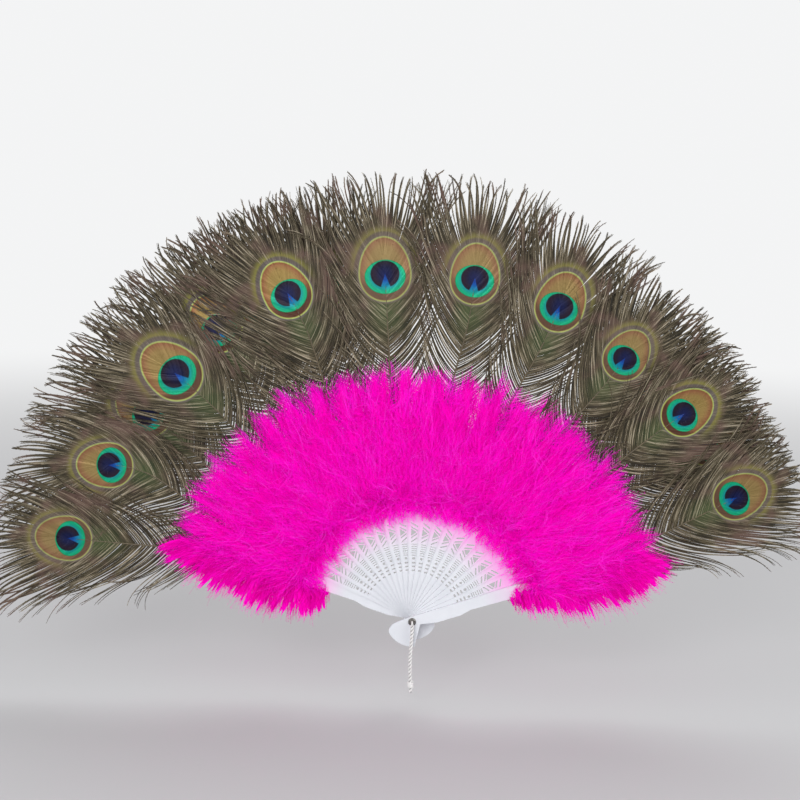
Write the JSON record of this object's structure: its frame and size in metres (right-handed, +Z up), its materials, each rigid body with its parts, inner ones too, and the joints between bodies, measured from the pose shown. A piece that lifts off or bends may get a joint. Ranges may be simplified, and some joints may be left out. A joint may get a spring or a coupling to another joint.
{
  "type": "feather fan",
  "caption": "Folding feather fan: pierced plastic sticks on one rivet, marabou plumes along the sticks and peacock eye feathers above them; opens to a wide arc and folds to one bundle.",
  "frame": {"origin": "on the rivet's axis, halfway through the stack of sticks, where a hand or a rack holds the fan", "axes": "+Z up along the middle stick of the open fan, -Y out of the front face, +X to the right of it"},
  "size_m": [0.8021, 0.0512, 0.5148],
  "materials": {
    "plastic": "satin",
    "marabou": "matte",
    "peacock": "satin",
    "metal": "satin",
    "cord": "matte"
  },
  "bodies": {
    "rear_leaf": {"rear_guard": "plastic", "marabou_plume_00": "marabou", "peacock_feather_00": "peacock", "pivot_rivet": "metal", "hanging_cord": "cord"},
    "leaf_01": {"stick_01": "plastic", "marabou_plume_01": "marabou", "peacock_feather_01": "peacock"},
    "leaf_02": {"stick_02": "plastic", "marabou_plume_02": "marabou", "peacock_feather_02": "peacock"},
    "leaf_03": {"stick_03": "plastic", "marabou_plume_03": "marabou"},
    "leaf_04": {"stick_04": "plastic", "marabou_plume_04": "marabou", "peacock_feather_04": "peacock"},
    "leaf_05": {"stick_05": "plastic", "marabou_plume_05": "marabou", "peacock_feather_05": "peacock"},
    "leaf_06": {"stick_06": "plastic", "marabou_plume_06": "marabou", "peacock_feather_06": "peacock"},
    "leaf_07": {"stick_07": "plastic", "marabou_plume_07": "marabou", "peacock_feather_07": "peacock"},
    "leaf_08": {"stick_08": "plastic", "marabou_plume_08": "marabou", "peacock_feather_08": "peacock"},
    "leaf_09": {"stick_09": "plastic", "marabou_plume_09": "marabou", "peacock_feather_09": "peacock"},
    "leaf_10": {"stick_10": "plastic", "marabou_plume_10": "marabou"},
    "leaf_11": {"stick_11": "plastic", "marabou_plume_11": "marabou", "peacock_feather_11": "peacock"},
    "leaf_12": {"stick_12": "plastic", "marabou_plume_12": "marabou"},
    "leaf_13": {"stick_13": "plastic", "marabou_plume_13": "marabou", "peacock_feather_13": "peacock"},
    "leaf_14": {"stick_14": "plastic", "marabou_plume_14": "marabou"},
    "leaf_15": {"stick_15": "plastic", "marabou_plume_15": "marabou", "peacock_feather_15": "peacock"},
    "leaf_16": {"stick_16": "plastic", "marabou_plume_16": "marabou", "peacock_feather_16": "peacock"},
    "leaf_17": {"stick_17": "plastic", "marabou_plume_17": "marabou", "peacock_feather_17": "peacock"},
    "leaf_18": {"stick_18": "plastic", "marabou_plume_18": "marabou", "peacock_feather_18": "peacock"},
    "leaf_19": {"stick_19": "plastic", "marabou_plume_19": "marabou"},
    "front_leaf": {"front_guard": "plastic", "marabou_plume_20": "marabou", "peacock_feather_20": "peacock"}
  },
  "joints": [
    {"name": "fan_fold", "type": "hinge", "parent": "rear_leaf", "child": "front_leaf", "pos_m": [0, 0, 0], "axis": [0, -1, 0], "range_deg": [0, 143.1], "deforming": ["marabou_plume_00", "marabou_plume_01", "marabou_plume_02", "marabou_plume_03", "marabou_plume_04", "marabou_plume_05", "marabou_plume_06", "marabou_plume_07", "marabou_plume_08", "marabou_plume_09", "marabou_plume_10", "marabou_plume_11", "marabou_plume_12", "marabou_plume_13", "marabou_plume_14", "marabou_plume_15", "marabou_plume_16", "marabou_plume_17", "marabou_plume_18", "marabou_plume_19", "marabou_plume_20"]},
    {"name": "fold_01", "type": "hinge", "parent": "rear_leaf", "child": "leaf_01", "pos_m": [0, 0, 0], "axis": [0, -1, 0], "range_deg": [0, 7.16]},
    {"name": "fold_02", "type": "hinge", "parent": "rear_leaf", "child": "leaf_02", "pos_m": [0, 0, 0], "axis": [0, -1, 0], "range_deg": [0, 14.31]},
    {"name": "fold_03", "type": "hinge", "parent": "rear_leaf", "child": "leaf_03", "pos_m": [0, 0, 0], "axis": [0, -1, 0], "range_deg": [0, 21.47]},
    {"name": "fold_04", "type": "hinge", "parent": "rear_leaf", "child": "leaf_04", "pos_m": [0, 0, 0], "axis": [0, -1, 0], "range_deg": [0, 28.62]},
    {"name": "fold_05", "type": "hinge", "parent": "rear_leaf", "child": "leaf_05", "pos_m": [0, 0, 0], "axis": [0, -1, 0], "range_deg": [0, 35.78]},
    {"name": "fold_06", "type": "hinge", "parent": "rear_leaf", "child": "leaf_06", "pos_m": [0, 0, 0], "axis": [0, -1, 0], "range_deg": [0, 42.93]},
    {"name": "fold_07", "type": "hinge", "parent": "rear_leaf", "child": "leaf_07", "pos_m": [0, 0, 0], "axis": [0, -1, 0], "range_deg": [0, 50.09]},
    {"name": "fold_08", "type": "hinge", "parent": "rear_leaf", "child": "leaf_08", "pos_m": [0, 0, 0], "axis": [0, -1, 0], "range_deg": [0, 57.24]},
    {"name": "fold_09", "type": "hinge", "parent": "rear_leaf", "child": "leaf_09", "pos_m": [0, 0, 0], "axis": [0, -1, 0], "range_deg": [0, 64.4]},
    {"name": "fold_10", "type": "hinge", "parent": "rear_leaf", "child": "leaf_10", "pos_m": [0, 0, 0], "axis": [0, -1, 0], "range_deg": [0, 71.55]},
    {"name": "fold_11", "type": "hinge", "parent": "rear_leaf", "child": "leaf_11", "pos_m": [0, 0, 0], "axis": [0, -1, 0], "range_deg": [0, 78.71]},
    {"name": "fold_12", "type": "hinge", "parent": "rear_leaf", "child": "leaf_12", "pos_m": [0, 0, 0], "axis": [0, -1, 0], "range_deg": [0, 85.86]},
    {"name": "fold_13", "type": "hinge", "parent": "rear_leaf", "child": "leaf_13", "pos_m": [0, 0, 0], "axis": [0, -1, 0], "range_deg": [0, 93.02]},
    {"name": "fold_14", "type": "hinge", "parent": "rear_leaf", "child": "leaf_14", "pos_m": [0, 0, 0], "axis": [0, -1, 0], "range_deg": [0, 100.17]},
    {"name": "fold_15", "type": "hinge", "parent": "rear_leaf", "child": "leaf_15", "pos_m": [0, 0, 0], "axis": [0, -1, 0], "range_deg": [0, 107.33]},
    {"name": "fold_16", "type": "hinge", "parent": "rear_leaf", "child": "leaf_16", "pos_m": [0, 0, 0], "axis": [0, -1, 0], "range_deg": [0, 114.48]},
    {"name": "fold_17", "type": "hinge", "parent": "rear_leaf", "child": "leaf_17", "pos_m": [0, 0, 0], "axis": [0, -1, 0], "range_deg": [0, 121.64]},
    {"name": "fold_18", "type": "hinge", "parent": "rear_leaf", "child": "leaf_18", "pos_m": [0, 0, 0], "axis": [0, -1, 0], "range_deg": [0, 128.79]},
    {"name": "fold_19", "type": "hinge", "parent": "rear_leaf", "child": "leaf_19", "pos_m": [0, 0, 0], "axis": [0, -1, 0], "range_deg": [0, 135.95]}
  ],
  "couplings": [
    {"joint": "fold_01", "follows": "fan_fold", "ratio": 0.05},
    {"joint": "fold_02", "follows": "fan_fold", "ratio": 0.1},
    {"joint": "fold_03", "follows": "fan_fold", "ratio": 0.15},
    {"joint": "fold_04", "follows": "fan_fold", "ratio": 0.2},
    {"joint": "fold_05", "follows": "fan_fold", "ratio": 0.25},
    {"joint": "fold_06", "follows": "fan_fold", "ratio": 0.3},
    {"joint": "fold_07", "follows": "fan_fold", "ratio": 0.35},
    {"joint": "fold_08", "follows": "fan_fold", "ratio": 0.4},
    {"joint": "fold_09", "follows": "fan_fold", "ratio": 0.45},
    {"joint": "fold_10", "follows": "fan_fold", "ratio": 0.5},
    {"joint": "fold_11", "follows": "fan_fold", "ratio": 0.55},
    {"joint": "fold_12", "follows": "fan_fold", "ratio": 0.6},
    {"joint": "fold_13", "follows": "fan_fold", "ratio": 0.65},
    {"joint": "fold_14", "follows": "fan_fold", "ratio": 0.7},
    {"joint": "fold_15", "follows": "fan_fold", "ratio": 0.75},
    {"joint": "fold_16", "follows": "fan_fold", "ratio": 0.8},
    {"joint": "fold_17", "follows": "fan_fold", "ratio": 0.85},
    {"joint": "fold_18", "follows": "fan_fold", "ratio": 0.9},
    {"joint": "fold_19", "follows": "fan_fold", "ratio": 0.95}
  ]
}
